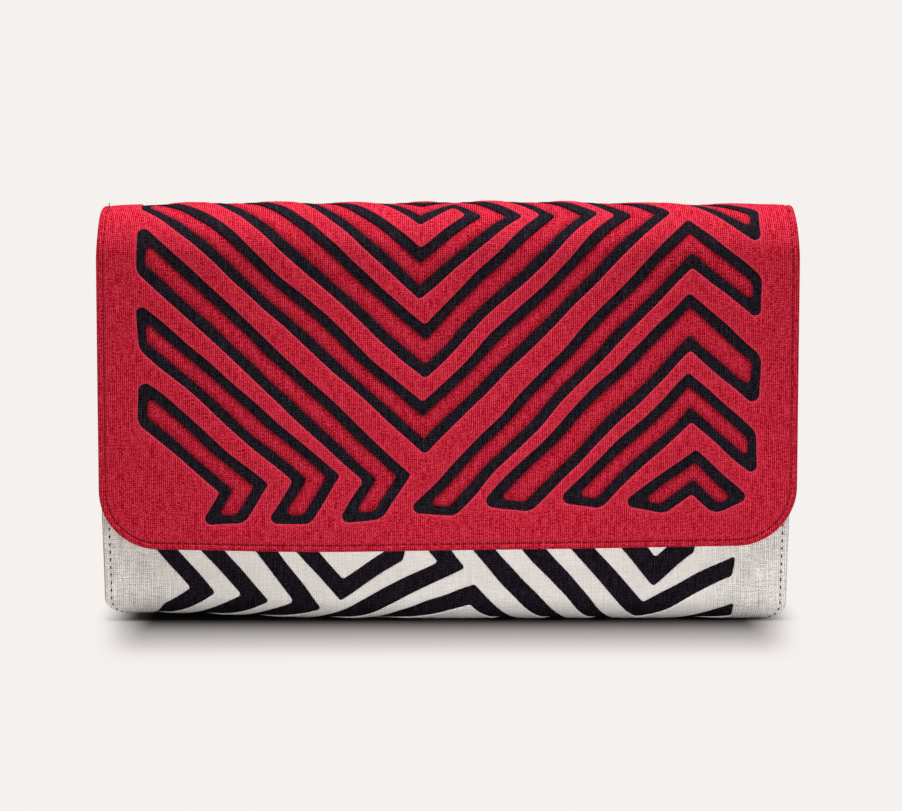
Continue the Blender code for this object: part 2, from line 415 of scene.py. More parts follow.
def ripple(seed, wavelength):
    """A smooth wandering function of u and v, from about -1 to 1, the same on every run."""
    rng = np.random.default_rng(seed)
    angles = rng.uniform(0, 2 * math.pi, WANDER_WAVES)
    phases = rng.uniform(0, 2 * math.pi, WANDER_WAVES)
    stretches = rng.uniform(WANDER_SHORTEST, WANDER_LONGEST, WANDER_WAVES)

    def wander(u, v):
        total = 0.0
        for angle, phase, stretch in zip(angles, phases, stretches):
            along = u * math.cos(angle) + v * math.sin(angle)
            total = total + np.sin(2 * math.pi * along / (wavelength * stretch) + phase)
        return total / WANDER_MOST

    return wander


def flap_outline(inset):
    """The red panel's flat edge, drawn in by inset: the flap's corners are round, the back's square."""
    half, far = FLAP_WIDTH / 2 - inset, FLAP_LENGTH - inset
    corners = np.array([(-half, inset), (half, inset), (half, far), (-half, far)])
    flap_radius = FLAP_CORNER - inset
    arcs = []
    for corner, first in zip(corners[:2], (math.pi, 1.5 * math.pi)):
        centre = corner + flap_radius * np.array([-np.sign(corner[0]), 1.0])
        turns = np.linspace(first, first + math.pi / 2, ARC_POINTS)
        arcs.append(centre + flap_radius * np.stack([np.cos(turns), np.sin(turns)], axis=1))
    return np.concatenate([arcs[0], arcs[1], corners[2:]])


def front_outline(inset):
    """The grey panel's flat edge, drawn in by inset: its sides follow the taper and the roll."""
    v = np.linspace(inset, FRONT_LENGTH - inset, SIDE_POINTS)
    half = pouch_half_width(front_profile(v)[1]) - inset
    right = np.stack([half, v], axis=1)
    left = np.stack([-half, v], axis=1)
    return np.concatenate([right, left[::-1]])


def gusset_outline(inset):
    """A gusset's flat edge, drawn in by inset."""
    low, high = inset, GUSSET_TOP - GUSSET_FLOOR - inset
    return np.array([(low, low), (GUSSET_FLAT - inset, low), (GUSSET_FLAT - inset, high), (low, high)])


# The patchwork's layout

Cut = namedtuple("Cut", "place along")
LINE_WIDTH = 4.05 * MM
END_LINE = 3.4 * MM
INLAY_WIDTH = 6.2 * MM
FIELD_LEFT = -118.4 * MM
FIELD_TOP = 181.0 * MM

LEFT_CUT = Cut((FIELD_LEFT - 1.0 * MM, 0.0), (0.0, 1.0))
RIGHT_CUT = Cut((118.6 * MM, 0.0), (0.016, 1.0))
TOP_CUT = Cut((0.0, FIELD_TOP), (1.0, 0.0))
LOW_CUT = Cut((0.0, 13.7 * MM), (1.0, 0.040))

# Slots from the left edge down to a turn, and back down and left to a foot. Heights are in
# millimetres above the flap's lower edge.
Hook = namedtuple("Hook", "level slope turn_height foot_degrees")
HOOKS = (
    Hook(57.7, 0.840, 24.4, 59.0),
    Hook(87.1, 0.870, 28.3, 57.0),
    Hook(117.2, 0.934, 28.7, 57.0),
)

# Slots in the shape of a V whose right arm turns back at the top fold and runs over it, in
# millimetres. The innermost one turns twice and comes back as a smaller V.
Nest = namedtuple("Nest", "tip_u tip turn_u turn fuller")
NESTS = (Nest(-9.3, 47.8, 75.6, 131.8, 0.0), Nest(-9.3, 77.2, 47.0, 131.8, 0.5))
LEFT_ARM_SLOPE = 0.90
OVER_SLOPE = 0.79
SPIRAL_TIP = (-11.1 * MM, 107.0 * MM)
SPIRAL_TURN = (17.8 * MM, 130.4 * MM)
SPIRAL_CORNER = (2.6 * MM, 145.0 * MM)
SPIRAL_BACK_TIP = (-10.6 * MM, 134.9 * MM)

# Slots from the lower edge up to a peak and down again to the right edge, in millimetres. The left
# arm's foot is cut along a line of its own slope.
Peak = namedtuple("Peak", "level left_slope right_slope foot_u foot foot_slope fuller")
PEAK_U = 93.0 * MM
PEAKS = (
    Peak(59.3, 0.975, 0.890, 51.3, 17.1, -0.18, 0.0),
    Peak(88.6, 1.015, 0.890, 23.6, 16.3, -0.14, 0.9),
    Peak(119.5, 1.055, 0.825, -5.0, 14.0, -0.06, 0.0),
)
SMALL_PEAK = (94.6 * MM, 29.6 * MM)
SMALL_PEAK_SLOPES = (0.74, -0.86)
SMALL_PEAK_HALF = 6.7 * MM
SMALL_PEAK_LEFT_CUT = Cut((72.0 * MM, 15.6 * MM), (1.0, -0.245))
SMALL_PEAK_RIGHT_CUT = Cut((112.0 * MM, 17.4 * MM), (1.0, 0.53))
TOP_RIGHT_LEVEL = 128.4 * MM


def meeting(place, along, cut):
    """Where the line through place runs into a cut."""
    across = np.array([-cut.along[1], cut.along[0]])
    share = (np.array(cut.place) - place) @ across / (along @ across)
    return place + along * share


def moved(cut, distance, towards):
    """The cut moved a distance to the side that towards points to."""
    along = np.array(cut.along) / np.linalg.norm(cut.along)
    across = np.array([-along[1], along[0]])
    if across @ towards < 0:
        across = -across
    return Cut(tuple(np.array(cut.place) + across * distance), tuple(along))


def band(stops, half, start, end, inset):
    """Corners of the outline of a band that follows stops, its two ends cut off and drawn in."""
    stops = np.array(stops)
    along = np.diff(stops, axis=0)
    along = along / np.linalg.norm(along, axis=1)[:, None]
    left = np.stack([-along[:, 1], along[:, 0]], axis=1)
    start = moved(start, inset, along[0])
    end = moved(end, inset, -along[-1])
    sides = []
    for shift in (half * left, -half * left):
        side = [meeting(stops[0] + shift[0], along[0], start)]
        for index in range(1, len(stops) - 1):
            next_edge = Cut(tuple(stops[index] + shift[index]), tuple(along[index]))
            side.append(meeting(stops[index] + shift[index - 1], along[index - 1], next_edge))
        side.append(meeting(stops[-1] + shift[-1], along[-1], end))
        sides.append(side)
    return np.array(sides[0] + sides[1][::-1])


Slot = namedtuple("Slot", "stops inlay_half start end")


def falling(place, slope, u):
    """The point at u on the line through place with this slope."""
    return (u, place[1] + slope * (u - place[0]))


def hook_slots():
    """The slots that start at the left edge and end in a foot."""
    for hook in HOOKS:
        level, turn_v = hook.level * MM, hook.turn_height * MM
        turn = (FIELD_LEFT + (level - turn_v) / hook.slope, turn_v)
        angle = math.radians(hook.foot_degrees)
        foot = (turn[0] - turn_v * math.cos(angle), turn_v - turn_v * math.sin(angle))
        yield Slot([(FIELD_LEFT, level), turn, foot], INLAY_WIDTH / 2, LEFT_CUT, LOW_CUT)


def nested_slots():
    """The slots in the shape of a V, from the widest one in."""
    for nest in NESTS:
        tip, turn = (nest.tip_u * MM, nest.tip * MM), (nest.turn_u * MM, nest.turn * MM)
        first = falling(tip, -LEFT_ARM_SLOPE, FIELD_LEFT)
        over = falling(turn, -OVER_SLOPE, FIELD_LEFT)
        half = INLAY_WIDTH / 2 + nest.fuller * MM
        yield Slot([first, tip, turn, over], half, LEFT_CUT, TOP_CUT)
    first = falling(SPIRAL_TIP, -LEFT_ARM_SLOPE, FIELD_LEFT)
    last = falling(SPIRAL_BACK_TIP, -LEFT_ARM_SLOPE, FIELD_LEFT)
    stops = [first, SPIRAL_TIP, SPIRAL_TURN, SPIRAL_CORNER, SPIRAL_BACK_TIP, last]
    yield Slot(stops, INLAY_WIDTH / 2, TOP_CUT, TOP_CUT)


def peak_slots():
    """The slots with a peak, and the one that runs over the fold from the right edge."""
    for row in PEAKS:
        peak = (PEAK_U, row.level * MM)
        foot = falling(peak, row.left_slope, FIELD_LEFT)
        side = falling(peak, -row.right_slope, -FIELD_LEFT)
        foot_cut = Cut((row.foot_u * MM, row.foot * MM), (1.0, row.foot_slope))
        yield Slot([foot, peak, side], INLAY_WIDTH / 2 + row.fuller * MM, foot_cut, RIGHT_CUT)
    foot = falling(SMALL_PEAK, SMALL_PEAK_SLOPES[0], 0.0)
    side = falling(SMALL_PEAK, SMALL_PEAK_SLOPES[1], -FIELD_LEFT)
    half = SMALL_PEAK_HALF - LINE_WIDTH
    yield Slot([foot, SMALL_PEAK, side], half, SMALL_PEAK_LEFT_CUT, SMALL_PEAK_RIGHT_CUT)
    side = (-FIELD_LEFT, TOP_RIGHT_LEVEL)
    yield Slot([side, falling(side, -OVER_SLOPE, 0.0)], INLAY_WIDTH / 2, RIGHT_CUT, TOP_CUT)


def flap_slots():
    """Every slot of the red mola."""
    yield from hook_slots()
    yield from nested_slots()
    yield from peak_slots()


# The grey mola's black bands: a row is one band, in millimetres. Each starts at a height above the
# bottom, turns once and ends; a height below 0 is that far in under the bottom's edge. The end is
# cut along a line that leans this many degrees from level.
Band = namedtuple("Band", "start_u start turn_u turn end_u end end_degrees half")
UNDER_FLAP = 42.0
UNDER = -16.0
BANDS = (
    Band(-120.7, UNDER_FLAP, -94.5, 10.2, -113.5, -2.2, 60, 3.35),
    Band(-103.3, UNDER_FLAP, -73.6, 8.3, -107.9, -9.0, 0, 3.35),
    Band(-80.5, UNDER_FLAP, -53.9, 5.8, -106.5, UNDER, 0, 3.35),
    Band(-66.3, UNDER_FLAP, -41.0, 12.2, -16.0, 28.8, 82, 3.35),
    Band(-14.3, UNDER_FLAP, 1.6, 22.1, -72.0, UNDER, 0, 3.45),
    Band(-31.7, -5.2, 9.8, 10.6, 36.4, UNDER, 0, 3.35),
    Band(4.0, UNDER_FLAP, 25.5, 16.0, 54.5, UNDER, 0, 3.7),
    Band(22.8, UNDER_FLAP, 45.3, 16.0, 73.5, UNDER, 0, 3.35),
    Band(41.4, UNDER_FLAP, 74.9, 3.3, 111.6, 21.7, 84, 3.5),
    Band(62.5, UNDER_FLAP, 80.4, 19.6, 97.0, 33.0, 86, 4.1),
    Band(88.0, UNDER, 90.0, -5.3, 112.2, 3.3, 86, 3.35),
)


def front_slots():
    """Every band of the grey mola."""
    base = ROLL_END - BOTTOM_ROLL
    for row in BANDS:
        heights = (row.start, row.turn, row.end)
        stops = [
            (u * MM, base + height * MM)
            for u, height in zip((row.start_u, row.turn_u, row.end_u), heights)
        ]
        lean = math.radians(row.end_degrees)
        start = Cut(stops[0], (1.0, 0.0))
        end = Cut(stops[-1], (math.cos(lean), math.sin(lean)))
        yield Slot(stops, row.half * MM, start, end)


HAND_WARP = 0.45 * MM
HAND_WARP_LENGTH = 42 * MM
HAND_WOBBLE = 0.13 * MM
HAND_WOBBLE_LENGTH = 17 * MM
OUTLINE_STEP = 0.75 * MM
STITCH_PITCH = 2.9 * MM
SCALLOP = 0.05 * MM
SCALLOP_MIDDLE = 0.6
WARP_SEEDS = (11, 12)

# How round each kind of outline is cut at its bends and at the blunt and sharp corners of its
# ends, and the seed of its wander
Cutting = namedtuple("Cutting", "bend blunt sharp seed")
SLOT_CUTTING = Cutting(1.5 * MM, 6.0 * MM, 2.4 * MM, 100)
ISLAND_CUTTING = Cutting(0.8 * MM, 3.0 * MM, 1.5 * MM, 200)
BAND_CUTTING = Cutting(1.1 * MM, 1.8 * MM, 0.7 * MM, 300)


def hand_cut(corners, cutting, index):
    """The outline as a hand cuts and turns it: corners eased, edges wandering and scalloped."""
    radii = np.full(len(corners), cutting.bend)
    half = len(corners) // 2
    for end in (0, half - 1, half, len(corners) - 1):
        way_in = corners[end] - corners[end - 1]
        way_out = corners[(end + 1) % len(corners)] - corners[end]
        radii[end] = cutting.blunt if way_in @ way_out > 0 else cutting.sharp
    if anticlockwise(corners) is not corners:
        corners, radii = corners[::-1], radii[::-1]
    points = resampled(rounded(corners, radii), OUTLINE_STEP)
    u, v = points[:, 0], points[:, 1]
    warp = np.stack([ripple(seed, HAND_WARP_LENGTH)(u, v) for seed in WARP_SEEDS], axis=1)
    travel = np.arange(len(points)) * OUTLINE_STEP
    scallop = np.abs(np.sin(math.pi * travel / STITCH_PITCH)) - SCALLOP_MIDDLE
    wobble = ripple(cutting.seed + index, HAND_WOBBLE_LENGTH)(u, v)
    wander = HAND_WOBBLE * wobble + SCALLOP * scallop
    return points + HAND_WARP * warp + outward_normals(points) * wander[:, None]


def flap_islands_and_slots():
    """The outlines of the red mola's slots and of the inlays inside them."""
    slots, islands = [], []
    for index, slot in enumerate(flap_slots()):
        corners = band(slot.stops, slot.inlay_half + LINE_WIDTH, slot.start, slot.end, 0.0)
        slots.append(hand_cut(corners, SLOT_CUTTING, index))
        corners = band(slot.stops, slot.inlay_half, slot.start, slot.end, END_LINE)
        islands.append(hand_cut(corners, ISLAND_CUTTING, index))
    return slots, islands


def front_band_outlines():
    """The outlines of the grey mola's black bands."""
    found = []
    for index, slot in enumerate(front_slots()):
        corners = band(slot.stops, slot.inlay_half, slot.start, slot.end, 0.0)
        found.append(hand_cut(corners, BAND_CUTTING, index))
    return found


# Sheets of cloth

# The share of the spacing that is left free past the last ring, and how near its own distance
# from the edge a ring's point has to stay
GRID_GAP = 0.45
RING_CLEARANCE = 0.86
TOUCHING = 1e-9
SHARP_DEGREES = 70
NO_HOLE = 1.0


def in_cloth(points, outline, holes):
    """Whether each point lies in the outline and in none of its holes."""
    held = inside(points, outline)
    for hole in holes:
        held &= ~inside(points, hole)
    return held


def sheet_points(outline, holes, rings, hole_rings, spacing):
    """Flat points for a sheet: its edges, and then those of rings along them and an even grid."""
    edges = [outline] + holes
    low, high = outline.min(axis=0), outline.max(axis=0)
    columns = np.arange(low[0] + spacing / 2, high[0], spacing)
    rows = np.arange(low[1] + spacing / 2, high[1], spacing * math.sqrt(3) / 2)
    grid_u, grid_v = np.meshgrid(columns, rows)
    grid_u[1::2] += spacing / 2
    free = np.stack([grid_u.ravel(), grid_v.ravel()], axis=1)
    reach = max([0.0, *rings, *hole_rings]) + GRID_GAP * spacing
    free = free[distances(free, edges) > reach]
    followed = [(outline, -ring) for ring in rings]
    followed += [(hole, ring) for ring in hole_rings for hole in holes]
    if followed:
        points = np.concatenate([edge + outward_normals(edge) * way for edge, way in followed])
        ways = np.concatenate([np.full(len(edge), abs(way)) for edge, way in followed])
        clear = distances(points, edges) > RING_CLEARANCE * ways
        free = np.concatenate([points[clear], free])
    return np.concatenate(edges), free[in_cloth(free, outline, holes)]


def triangulated(fixed, free, outline, holes):
    """Triangles, anticlockwise, that fill the outline but not its holes."""
    edges, start = [], 0
    for ring in [outline] + holes:
        count = len(ring)
        edges += [(start + i, start + (i + 1) % count) for i in range(count)]
        start += count
    vectors = [Vector(point) for point in np.concatenate([fixed, free]).tolist()]
    verts, _, faces, sources, _, _ = delaunay_2d_cdt(vectors, edges, [], 0, TOUCHING)
    source = np.array([found[0] if found else -1 for found in sources])
    flat = np.array([(vert.x, vert.y) for vert in verts])
    faces = np.array(faces)
    # A point made where two edges touch is no point of the sheet.
    whole = (source[faces] >= 0).all(axis=1)
    held = in_cloth(flat[faces].mean(axis=1), outline, holes) & whole
    return source[faces[held]]


def built_sheet(name, place, outline, holes, top, bottom, spacing, under_spacing,
                rings=(), hole_rings=(), under_rings=(), turned_reach=0.5 * MM):
    """A closed sheet of cloth. top(flat, edge distance, hole distance) and bottom give each face's
    outward offset, and place carries flat points with an offset onto the bag."""
    fixed, free = sheet_points(outline, holes, rings, hole_rings, spacing)
    upper = triangulated(fixed, free, outline, holes)
    _, under = sheet_points(outline, holes, under_rings, (), under_spacing)
    lower = triangulated(fixed, under, outline, holes)
    flat = np.concatenate([fixed, free, under])
    top_count = len(fixed) + len(free)
    lower = np.where(lower >= len(fixed), lower + len(free), lower)
    edge = distances(flat, [outline])
    hole = distances(flat, holes) if holes else np.full(len(flat), NO_HOLE)
    edge[: len(outline)] = 0.0
    if holes:
        hole[len(outline) : len(fixed)] = 0.0
    out = top(flat, edge, hole)
    out[top_count:] = bottom(flat, edge, hole)[top_count:]
    places = place(flat[:, 0], flat[:, 1], out)
    faces = np.concatenate([upper, lower[:, ::-1]])
    mesh = bpy.data.meshes.new(name)
    mesh.from_pydata(places.tolist(), [], faces.tolist())
    uv = mesh.uv_layers.new(name="Cloth")
    uv.uv.foreach_set("vector", flat[faces.ravel()].astype(np.float32).ravel())
    # How near each point lies to a turned edge; the materials paint a highlight or a shade by it.
    turned = mesh.attributes.new("turned_edge", "FLOAT", "POINT")
    share = np.exp(-np.minimum(edge, hole) / turned_reach)
    turned.data.foreach_set("value", share.astype(np.float32))
    mesh.update()
    mesh.shade_smooth()
    mesh.set_sharp_from_angle(angle=math.radians(SHARP_DEGREES))
    obj = bpy.data.objects.new(name, mesh)
    bpy.context.scene.collection.objects.link(obj)
    corner_a, corner_b, corner_c = (flat[upper[:, k]] for k in range(3))
    side_b, side_c = corner_b - corner_a, corner_c - corner_a
    area = np.abs(side_b[:, 0] * side_c[:, 1] - side_b[:, 1] * side_c[:, 0]).sum() / 2
    return obj, float(area)


def joined(name, pieces):
    """Several sheets made one object."""
    bpy.ops.object.select_all(action="DESELECT")
    for piece in pieces:
        piece.select_set(True)
    bpy.context.view_layer.objects.active = pieces[0]
    bpy.ops.object.join()
    pieces[0].name = name
    pieces[0].data.name = name
    return pieces[0]


def quarter_round(distance, radius, depth):
    """How far an edge of this radius has dropped at a distance from its rim."""
    share = np.clip(distance / radius, 0.0, 1.0)
    return -depth * (1 - np.sqrt(1 - (1 - share) ** 2))


# Depths of the layers below the bag's outer face, how full and how round each is, and how far from
# its edge that reaches. The flap's stitches pull a deep groove into its cloth.
TOP_LAYER = 0.46 * MM
BLACK_TOP = 0.50 * MM
BLACK_UNDER = 1.02 * MM
INLAY_UNDER = 1.12 * MM
BASE_FACE = 1.16 * MM
EDGE_ROUND = 0.40 * MM
STRIP_PUFF = 0.16 * MM
INLAY_PUFF = 0.44 * MM
STITCH_INSET = 2.75 * MM
FLAP_COVER_START = STITCH_INSET - 0.2 * MM
FRONT_COVER_START = STITCH_INSET - 0.5 * MM
LIP_PUFF = 0.16 * MM
GROOVE = 0.82 * MM
FRONT_GROOVE = 0.25 * MM
GROOVE_START = 0.78
GROOVE_END = 1.4
COVER_RISE = 0.8 * MM
STRIP_PUFF_START = 0.2 * MM
STRIP_PUFF_REACH = 2.6 * MM
PUCKER = 0.05 * MM
PUCKER_LENGTH = 9 * MM
PUCKER_SEED = 31
PUCKER_REACH = 1.5 * MM
BLACK_ROUND = 0.35 * MM
BLACK_PUFF = 0.05 * MM
BLACK_PUFF_REACH = 1.6 * MM
INLAY_RISE = 0.02 * MM
INLAY_PUFF_START = 0.3 * MM
INLAY_PUFF_REACH = 2.8 * MM

# How finely each layer's edges and faces are meshed
EDGE_STEP = 1.6 * MM
BODY_SPACING = 4 * MM
COVER_SPACING = 2.3 * MM
COVER_UNDER_SPACING = 6 * MM
UNDER_SPACING = 5 * MM
GUSSET_STEP = 1.5 * MM
GUSSET_SPACING = 2 * MM


def lip_face(edge, thickness, groove, base):
    """Outward offset of a panel's outer face near its edge: a round lip, a groove, then the base."""
    radius = thickness / 2
    rim = quarter_round(edge, radius, thickness / 2)
    puff = LIP_PUFF * np.sin(math.pi * np.clip(edge / STITCH_INSET, 0.0, 1.0))
    share = edge / STITCH_INSET
    into = smooth((share - GROOVE_START) / (1 - GROOVE_START))
    beyond = smooth((share - 1) / (GROOVE_END - 1))
    return rim + puff - groove * into + (groove - base) * beyond


def under_face(edge, thickness):
    """Outward offset of a panel's inner face, round at its edge."""
    return -thickness - quarter_round(edge, thickness / 2, thickness / 2)


LIP_RINGS = tuple(MM * d for d in (0.12, 0.35, 0.7, 1.1, 1.5, 1.9, 2.2, 2.5, 2.75, 3.1, 3.6))
UNDER_RINGS = tuple(MM * d for d in (0.2, 0.6, 1.2))
COVER_RINGS = tuple(MM * d for d in (0.25, 0.5, 0.8, 1.2))
CUT_RINGS = tuple(MM * d for d in (0.07, 0.20, 0.42, 1.0))
GUSSET_RINGS = tuple(MM * d for d in (0.2, 0.5, 0.9))

# A cloth that shows only in strips: how far it is tucked under the layer above, how finely it is
# meshed, how deep it lies, and how far the shade painted along its turned edge reaches
Strips = namedtuple("Strips", "tuck step spacing depth rings hole_rings under_rings turned_reach")
BLACK_STRIPS = Strips(
    1.1 * MM, 1.4 * MM, 2.4 * MM, BLACK_UNDER, (), CUT_RINGS[:3], (0.6 * MM,), 0.5 * MM
)
INLAY_STRIPS = Strips(
    0.5 * MM, 1.0 * MM, 1.7 * MM, INLAY_UNDER, (0.6 * MM, 1.3 * MM), (), (), 1.0 * MM
)


def panel_body(name, place, outline_at, thickness, groove):
    """A panel's closed base cloth with its round lip and the groove that the edge stitch pulls in."""
    outline = anticlockwise(resampled(outline_at(0.0), EDGE_STEP))

    def top(flat, edge, hole):
        return lip_face(edge, thickness, groove, BASE_FACE)

    def bottom(flat, edge, hole):
        return under_face(edge, thickness)

    return built_sheet(
        name, place, outline, [], top, bottom, BODY_SPACING, UNDER_SPACING,
        rings=LIP_RINGS, under_rings=UNDER_RINGS,
    )


def cover_layer(name, place, outline_at, start, holes, groove):
    """A panel's top cloth: it rises out of the groove, and its slots' edges are turned down."""
    outline = anticlockwise(resampled(outline_at(start), EDGE_STEP))
    pucker = ripple(PUCKER_SEED, PUCKER_LENGTH)

    def top(flat, edge, hole):
        rise = smooth(edge / COVER_RISE)
        puff = STRIP_PUFF * smooth((hole - STRIP_PUFF_START) / STRIP_PUFF_REACH)
        small = PUCKER * pucker(flat[:, 0], flat[:, 1]) * smooth(hole / PUCKER_REACH)
        return quarter_round(hole, EDGE_ROUND, TOP_LAYER) - groove * (1 - rise) + (puff + small) * rise

    def bottom(flat, edge, hole):
        return np.full(len(flat), -max(groove, TOP_LAYER))

    return built_sheet(
        name, place, outline, holes, top, bottom, COVER_SPACING, COVER_UNDER_SPACING,
        rings=COVER_RINGS, hole_rings=CUT_RINGS,
    )


def black_face(flat, edge, hole):
    """Outward offset of the black cloth's face: turned down where it is cut open over inlays."""
    turned = quarter_round(hole, BLACK_ROUND, BLACK_UNDER - BLACK_TOP)
    full = smooth((hole - STRIP_PUFF_START) / BLACK_PUFF_REACH) * smooth(edge / MM)
    return turned - BLACK_TOP + BLACK_PUFF * full


def inlay_face(flat, edge, hole):
    """Outward offset of the inlays' face, a little full in each opening."""
    full = smooth((edge - INLAY_PUFF_START) / INLAY_PUFF_REACH)
    return INLAY_RISE - INLAY_UNDER + INLAY_PUFF * full


def strip_layer(name, place, outlines, holes_of, strips, top):
    """A cloth that shows only in strips, each tucked all round under the layer above it."""
    pieces, total = [], 0.0

    def bottom(flat, edge, hole):
        return np.full(len(flat), -strips.depth)

    for index, (outline, holes) in enumerate(zip(outlines, holes_of)):
        tucked = resampled(outline + outward_normals(outline) * strips.tuck, strips.step)
        piece, area = built_sheet(
            f"{name}_{index}", place, tucked, holes, top, bottom, strips.spacing, UNDER_SPACING,
            rings=strips.rings, hole_rings=strips.hole_rings if holes else (),
            under_rings=strips.under_rings, turned_reach=strips.turned_reach,
        )
        pieces.append(piece)
        total += area
    return joined(name, pieces), total


# Stitches

# Threads that run along a seam: how much of the pitch each stitch takes up, how far out it lies
# and its radius
Running = namedtuple("Running", "share sink radius")
EDGE_RUNNING = Running(0.52, -0.48 * MM, 0.34 * MM)
SEAM_RUNNING = Running(0.42, 0.02 * MM, 0.24 * MM)
SEAM_INSET = 2.5 * MM
SEAM_ENDS = (8 * MM, 3 * MM)
SEAM_POINTS = 200
SEAM_PITCH_SHARE = 1.05

# Tacks that cross a turned edge: how far in and out of the opening each reaches, how far out its
# two ends lie, and its radius
Tack = namedtuple("Tack", "inner outer low high radius")
TACK = Tack(0.30 * MM, 0.55 * MM, -0.40 * MM, 0.04 * MM, 0.09 * MM)

# A loose thread end at the flap's upper left, as u, v and outward offset
THREAD_END_ROOT = np.array([[-132.2], [143.5], [-0.4]]) * MM
THREAD_END_TIP = np.array([[-132.6], [145.5], [1.3]]) * MM
THREAD_END_RADIUS = 0.22 * MM

# A stitch's cross-sections, each a share of its length and of its radius
STITCH_CROWN = 0.5
STITCH_SIDES = 6
STITCH_RINGS = ((0.0, 0.35), (0.12, 0.8), (0.3, 1.0), (0.7, 1.0), (0.88, 0.8), (1.0, 0.35))


def stitch_row(name, starts, ends, outs, radius):
    """Short threads from each start to its end, lying on a surface whose outward way is outs."""
    verts, faces = [], []
    for start, end, out in zip(starts, ends, outs):
        along = (end - start) / np.linalg.norm(end - start)
        side = np.cross(out, along)
        side = side / np.linalg.norm(side)
        up = np.cross(along, side)
        base = len(verts)
        for share, width in STITCH_RINGS:
            crown = STITCH_CROWN * math.sin(math.pi * share)
            centre = start + (end - start) * share + up * radius * crown
            for k in range(STITCH_SIDES):
                turn = 2 * math.pi * k / STITCH_SIDES
                reach = side * math.cos(turn) + up * math.sin(turn)
                verts.append(centre + reach * radius * width)
        for ring in range(len(STITCH_RINGS) - 1):
            for k in range(STITCH_SIDES):
                a = base + ring * STITCH_SIDES + k
                b = base + ring * STITCH_SIDES + (k + 1) % STITCH_SIDES
                faces.append((a, b, b + STITCH_SIDES, a + STITCH_SIDES))
        last = base + (len(STITCH_RINGS) - 1) * STITCH_SIDES
        faces.append(tuple(range(base + STITCH_SIDES - 1, base - 1, -1)))
        faces.append(tuple(range(last, last + STITCH_SIDES)))
    mesh = bpy.data.meshes.new(name)
    mesh.from_pydata([tuple(v) for v in verts], [], faces)
    mesh.update()
    mesh.shade_smooth()
    obj = bpy.data.objects.new(name, mesh)
    bpy.context.scene.collection.objects.link(obj)
    return obj


def threads_along(name, place, path, pitch, running):
    """A row of stitches that follows a flat path, each taking up a share of the pitch."""
    steps = np.linalg.norm(np.diff(path, axis=0), axis=1)
    at = np.concatenate([[0.0], np.cumsum(steps)])
    firsts = np.arange(pitch / 2, at[-1] - pitch, pitch)

    def placed(distance, out):
        u, v = (np.interp(distance, at, path[:, k]) for k in (0, 1))
        return place(u, v, np.full(len(u), out))

    starts = placed(firsts, running.sink)
    ends = placed(firsts + running.share * pitch, running.sink)
    return stitch_row(name, starts, ends, starts - placed(firsts, running.sink - MM), running.radius)


def threads_across(name, place, outlines, pitch, tack):
    """Small stitches that each cross a turned edge, all round every outline."""
    starts, ends, outs = [], [], []

    def placed(points, out):
        return place(points[:, 0], points[:, 1], np.full(len(points), out))

    for outline in outlines:
        points = resampled(outline, pitch)
        normals = outward_normals(points)
        starts.append(placed(points - normals * tack.inner, tack.low))
        ends.append(placed(points + normals * tack.outer, tack.high))
        outs.append(placed(points, 0.0) - placed(points, -MM))
    return stitch_row(
        name, np.concatenate(starts), np.concatenate(ends), np.concatenate(outs), tack.radius
    )


# Materials

MATH = "ShaderNodeMath"
VECTOR_MATH = "ShaderNodeVectorMath"
NOISE = "ShaderNodeTexNoise"
MIX = "ShaderNodeMix"
RANGE = "ShaderNodeMapRange"
SPLIT = "ShaderNodeSeparateXYZ"

# The weave's threads wander by about half a millimetre every 17 mm, as in cloth that has been
# handled, and thicken and thin in slubs that are twice as long along the warp. A fleck is a little
# smaller than the pitch, and a sewing thread's plies turn about every 0.4 mm.
BEND_SCALE = 60.0
BEND_REACH = (0.0010, 0.0016, 0.0)
WARP_SLUB = 2.0
THREAD_NOISE = 1.2
FLECK_NOISE = 1.30
CROSSING_SHARPNESS = 1.4
CROSSING_TONE = 0.16
RIB_MEAN = 0.64
FLECK_MEAN = 0.5
DARK_AT, MIDDLE_AT, LIGHT_AT = 0.40, 0.57, 0.75
# How dark the shade painted along the inlays' turned edges is, as a share of their dark threads' tone
EDGE_SHADOW = 0.12
TINT_SHARE = 0.60
TINT_FROM, TINT_FULL = 0.118, 0.094
BULGE_HEIGHT = 0.6
CLOTH_IOR = 1.46
THREAD_TWIST = 2500.0
TWIST_DARK = 0.45
TWIST_LIGHT, TWIST_LIGHT_LEAST = 1.6, 0.01
TWIST_RELIEF = 0.0001


def opaque(colour):
    """The colour with full alpha, as sockets take it."""
    return (*colour, 1.0)


def times(colour, factor):
    """The colour made lighter or darker."""
    return tuple(min(1.0, factor * c) for c in colour)


def wire(tree, node, inputs):
    """Sets or links a node's inputs, given in order or by name or number. Each is a value, a
    socket, or a node whose first working output is meant."""
    for key, value in inputs.items() if isinstance(inputs, dict) else enumerate(inputs):
        if isinstance(value, bpy.types.Node):
            value = next(socket for socket in value.outputs if socket.enabled)
        if isinstance(value, bpy.types.NodeSocket):
            tree.links.new(value, node.inputs[key])
        else:
            node.inputs[key].default_value = value


def add(tree, kind, inputs=(), **options):
    """A new node of this kind with its options and its inputs wired."""
    node = tree.nodes.new(kind)
    for name, value in options.items():
        setattr(node, name, value)
    wire(tree, node, inputs)
    return node


def set_ramp(ramp, stops):
    """Gives a colour ramp its stops, each a place and a colour."""
    elements = ramp.color_ramp.elements
    elements.remove(elements[-1])
    for place, _ in stops[1:]:
        elements.new(place)
    for element, (place, colour) in zip(elements, stops):
        element.position = place
        element.color = opaque(colour)


def new_material(name):
    """A new material with its node tree and its shader."""
    material = bpy.data.materials.new(name)
    material.use_nodes = True
    return material, material.node_tree, material.node_tree.nodes["Principled BSDF"]


# A woven cloth's three tones, its threads' pitch and slubs, how strongly its ribs and flecks show,
# the height of its threads, and the soft light that its nap catches
Weave = namedtuple("Weave", "dark middle light pitch streak rib fleck relief sheen")


